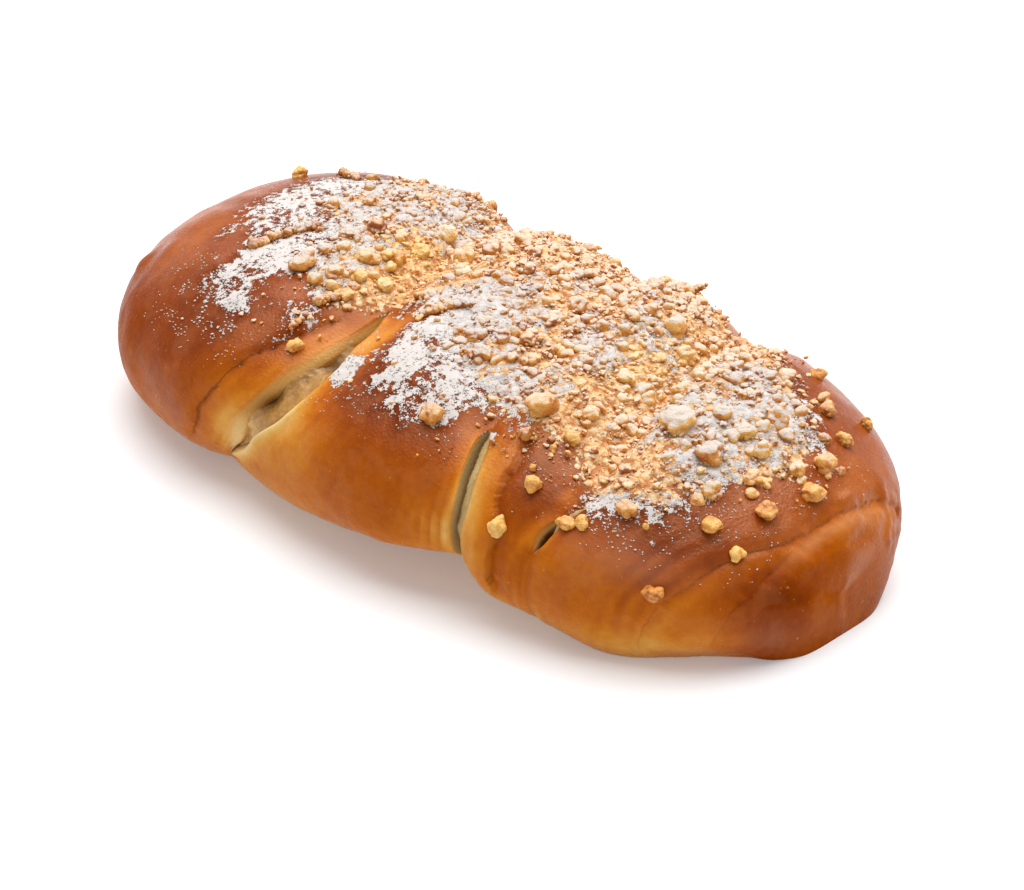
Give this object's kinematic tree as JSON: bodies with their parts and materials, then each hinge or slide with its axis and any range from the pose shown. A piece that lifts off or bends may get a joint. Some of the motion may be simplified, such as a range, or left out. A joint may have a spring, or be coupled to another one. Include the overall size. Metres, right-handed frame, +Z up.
{
  "type": "quark strudel",
  "caption": "Long, rounded loaf of folded yeast dough, slit open over a pale quark filling and topped with butter crumble and powdered sugar.",
  "frame": {"origin": "middle of the loaf's flat base, on the surface that it rests on", "axes": "+X along the loaf towards its more pointed end, -Y towards the front with the slits, +Z up"},
  "size_m": [0.26, 0.1387, 0.0649],
  "materials": {
    "dough": "egg-washed golden-brown crust with tan butter crumbs and powdered sugar",
    "quark_filling": "moist, pale cream baked quark"
  },
  "bodies": {
    "root": {"dough": "dough", "quark_filling": "quark_filling"}
  },
  "joints": []
}
